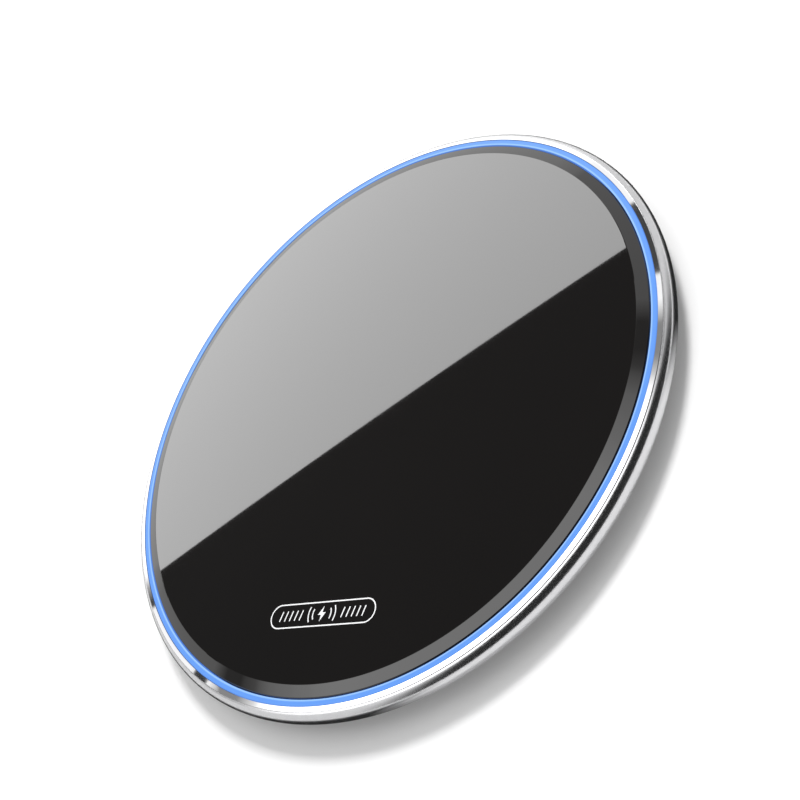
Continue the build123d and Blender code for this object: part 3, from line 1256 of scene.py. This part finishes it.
@dataclass
class Studio:
    """Pale floor, white surroundings, soft lamps and the cards that the polished surfaces show."""

    view: Viewpoint
    glass: GlassPanel
    ring: MetalRing
    lamps: Sequence[Lamp] = (
        Lamp("overhead", 0.0, 0.0, 0.50, 0.36, 0.5),
        Lamp("shadow_key", 0.34, 0.16, 0.62, 0.16, 3.9),
    )
    floor_size: float = 4.0
    floor_color: Color = (0.80, 0.80, 0.80)
    floor_lift: float = 0.12
    floor_gloss: float = 0.10
    ambient: float = 0.48
    card_distance: float = 0.6
    rim_card_steps: int = 24
    bevel_card_distance: float = 0.50
    bevel_card_gap: float = 0.004
    lip_card_distance: float = 0.54
    card_reach: float = 62.0 * MM
    softbox_span: float = 80.0 * MM
    softbox_light: float = 5.0
    black_flag_span: float = -52.0 * MM
    black_flag_light: float = 0.13
    split_angle: float = 62.84
    split_offset: float = -4.69 * MM
    flag_start: float = -4.0
    flag_end: float = 168.0
    flag_distance: float = 0.66
    flag_light: float = 0.03
    flag_climbs: Sequence[float] = (0.5, 20.0, 45.0, 65.0, 80.0, 88.0)
    flag_steps: int = 30
    flag_fade: float = 0.125
    shade_rings: Sequence[Point] = ((47.0 * MM, 1.0), (60.0 * MM, 1.0), (90.0 * MM, 0.0))
    shade_steps: int = 72
    shade_lift: float = 0.2 * MM
    open_middle: float = 90.0
    open_half: float = 32.0
    open_fade: float = 12.0
    bevel_shines: Sequence[Shine] = (
        Shine(56.0, 158.0, 2.7, 9.0, 0.22),
        Shine(46.0, 64.0, 0.25, 9.0, 0.25),
        Shine(150.0, 166.0, 0.25, 9.0, 0.25),
        Shine(190.0, 372.0, 1.5, 12.0, 0.03),
    )
    lip_shines: Sequence[Shine] = (
        Shine(23.0, 41.0, 0.06),
        Shine(66.0, 81.0, 0.25, fade=0.3),
        Shine(100.0, 118.0, 0.3, fade=0.3),
        Shine(167.5, 172.0, 0.04),
        Shine(192.0, 212.0, 0.06),
    )

    def build(self) -> None:
        """Makes the floor, the surroundings, the lamps and the cards."""
        self._world()
        self._floor()
        for lamp in self.lamps:
            self._lamp(lamp)
        self._split_cards()
        self._rim_cards()
        self._near_flag()
        self._floor_shade()

    def _world(self) -> None:
        """White surroundings, dimmer for the light that falls on the object."""
        world = bpy.data.worlds.new("studio")
        bpy.context.scene.world = world
        shader = Shader(world)
        seen = self._seen(shader)
        strength = self.ambient + seen * (1.0 - self.ambient)
        surface = shader.signal("Background", {}, {"Color": (1.0, 1.0, 1.0), "Strength": strength})
        shader.node("OutputWorld", {}, {"Surface": surface})

    @staticmethod
    def _seen(shader: Shader) -> Signal:
        """Tells the rays that show a surface directly, in gloss or through glass.

        Args:
            shader: the tree that takes the nodes.

        Returns:
            1 for those rays and 0 for the rest.
        """
        path = shader.node("LightPath", {}, {})
        kinds = ("Is Camera Ray", "Is Glossy Ray", "Is Transmission Ray")
        rays = [Signal(shader, path.outputs[kind]) for kind in kinds]
        return (rays[0] + rays[1] + rays[2]).clamped()

    def _floor(self) -> None:
        """Pale floor that keeps the shadow."""
        half = self.floor_size / 2
        shape = bmesh.new()
        corners = ((-half, -half), (half, -half), (half, half), (-half, half))
        shape.faces.new([shape.verts.new((x, y, 0)) for x, y in corners])
        floor = bpy.data.objects.new("floor", mesh_from("floor", shape))
        bpy.context.scene.collection.objects.link(floor)
        material = bpy.data.materials.new("pale_floor")
        shader = Shader(material)
        glossy = shader.signal("LightPath", {}, {}, out="Is Glossy Ray")
        shader.finish(
            {
                "Base Color": self.floor_color,
                "Roughness": 0.9,
                "Specular IOR Level": 0.0,
                "Emission Color": (1.0, 1.0, 1.0),
                "Emission Strength": self.floor_lift + glossy * self.floor_gloss,
            }
        )
        floor.data.materials.append(material)

    def _lamp(self, lamp: Lamp) -> None:
        """Hangs a lamp that faces the pad and that no polished surface shows.

        Args:
            lamp: the lamp.
        """
        data = bpy.data.lights.new(lamp.name, "AREA")
        data.shape = "SQUARE"
        data.size = lamp.size
        data.energy = lamp.power
        place = self.view.right * lamp.right + self.view.ahead * lamp.beyond + Vector((0, 0, lamp.above))
        hung = bpy.data.objects.new(lamp.name, data)
        hung.location = place
        hung.rotation_mode = "QUATERNION"
        hung.rotation_quaternion = (self.view.centre - place).to_track_quat("-Z", "Y")
        hung.visible_camera = False
        hung.visible_glossy = False
        bpy.context.scene.collection.objects.link(hung)

    def _on_glass(self, across: float, beyond: float) -> Vector:
        """Point of the glass plane, from its place along and beyond the split line.

        Args:
            across: distance along the line.
            beyond: distance past it, away from the camera.

        Returns:
            The point.
        """
        angle = math.radians(self.split_angle)
        normal = self.view.right * math.cos(angle) + self.view.ahead * math.sin(angle)
        along = self.view.right * math.sin(angle) - self.view.ahead * math.cos(angle)
        level = self.view.centre.copy()
        level.z = high(self.glass.node)
        return level + along * across + normal * (self.split_offset + beyond)

    def _mirror_place(self, spot: Vector, normal: Vector, distance: float) -> Vector:
        """Where a card has to be for a spot to show it."""
        return spot + self.view.mirrored(spot, normal) * distance

    def _outward(self, turn: float) -> Vector:
        """Level direction at a turn, in degrees, from the camera's right towards the camera."""
        angle = math.radians(turn)
        return self.view.right * math.cos(angle) - self.view.ahead * math.sin(angle)

    def _rim_cards(self) -> None:
        """Cards for the stretches of the bevel and of the lip that aren't plain white."""
        glass, ring = self.glass, self.ring
        bevel = (glass.face_radius + glass.bevel_width / 2, high(glass.node) - glass.bevel_drop / 2)
        lip = ((ring.lip_inner + ring.lip_outer) / 2, high(ring.node) - ring.lip_drop / 2)
        for number, shine in enumerate(self.bevel_shines):
            distance = self.bevel_card_distance + self.bevel_card_gap * number
            self._rim_card(f"bevel_card_{number}", bevel, glass.bevel_slope, shine, distance)
        for number, shine in enumerate(self.lip_shines):
            self._rim_card(f"lip_card_{number}", lip, ring.lip_slope, shine, self.lip_card_distance)

    def _rim_card(self, name: str, rim: Point, slope: float, shine: Shine, distance: float) -> None:
        """Card that one stretch of a sloping rim shows to the camera.

        Args:
            name: its name.
            rim: the rim's radius and height.
            slope: how far the rim tilts outward, in radians.
            shine: the stretch and what it shows.
            distance: how far off the card stands.
        """
        corners, cover = [], []
        for row in (-1, 1):
            for step in range(self.rim_card_steps + 1):
                share = step / self.rim_card_steps
                out = self._outward(shine.start + (shine.end - shine.start) * share)
                tilt = slope + row * math.radians(shine.spread)
                normal = out * math.sin(tilt) + Vector((0, 0, math.cos(tilt)))
                spot = out * rim[0] + Vector((0, 0, rim[1]))
                corners.append(self._mirror_place(spot, normal, distance))
                cover.append(min(1.0, share / shine.fade, (1 - share) / shine.fade))
        Card(name, corners, 2, [shine.light] * len(corners), cover).build()

    def _near_flag(self) -> None:
        """Dark curved flag behind the camera, which darkens the upper part of the near side."""
        corners, cover = [], []
        for climb in self.flag_climbs:
            level = math.radians(climb)
            for step in range(self.flag_steps + 1):
                share = step / self.flag_steps
                out = self._outward(self.flag_start + (self.flag_end - self.flag_start) * share)
                place = out * math.cos(level) + Vector((0, 0, math.sin(level)))
                corners.append(place * self.flag_distance)
                cover.append(min(1.0, share / self.flag_fade, (1 - share) / self.flag_fade))
        rows = len(self.flag_climbs)
        Card("near_flag", corners, rows, [self.flag_light] * len(corners), cover).build()

    def _floor_shade(self) -> None:
        """Dark floor in the reflections, left open in front of the pad."""
        corners, cover = [], []
        for radius, veil in self.shade_rings:
            for step in range(self.shade_steps + 1):
                turn = FULL_TURN * step / self.shade_steps
                past_opening = abs(turn - self.open_middle) - self.open_half
                cover.append(veil * max(0.0, min(1.0, past_opening / self.open_fade)))
                corners.append(self._outward(turn) * radius + Vector((0, 0, self.shade_lift)))
        rows = len(self.shade_rings)
        Card("floor_shade", corners, rows, [self.flag_light] * len(corners), cover).build()

    def _split_cards(self) -> None:
        """A softbox and a black flag that meet in a straight line across the glass."""
        up = Vector((0, 0, 1))
        cards = (
            ("softbox", self.softbox_span, self.softbox_light),
            ("black_flag", self.black_flag_span, self.black_flag_light),
        )
        for name, span, level in cards:
            corners = [
                self._mirror_place(self._on_glass(across, beyond), up, self.card_distance)
                for beyond in (0.0, span)
                for across in (-self.card_reach, self.card_reach)
            ]
            Card(name, corners, 2, [level] * len(corners), [1.0] * len(corners)).build()


# Assembly --------------------------------------------------------------------------------------


def dress_carried_nodes() -> None:
    """Gives each CAD node that stays its own finish."""
    for name, finish in CARRIED_NODES.items():
        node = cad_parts[name]
        node.data.materials.clear()
        node.data.materials.append(finish.material())
        log.info("dressed %s as %s", name, finish.name)


def main() -> None:
    """Builds the pad's pieces, then the studio."""
    logging.basicConfig(level=logging.INFO, format="%(name)s: %(message)s")
    bpy.context.scene.view_settings.view_transform = "Standard"
    glass, ring = GlassPanel(), MetalRing()
    pieces: Iterable[bpy.types.Object] = (
        glass.build(),
        PrintedMark().build(glass),
        LightGuide().build(),
        ring.build(),
        BottomCover().build(),
        FootRing().build(),
    )
    for piece in pieces:
        log.info("built %s with %d faces", piece.name, len(piece.data.polygons))
    dress_carried_nodes()
    view = Viewpoint()
    view.build()
    Studio(view, glass, ring).build()


if __name__ == "__main__":
    main()
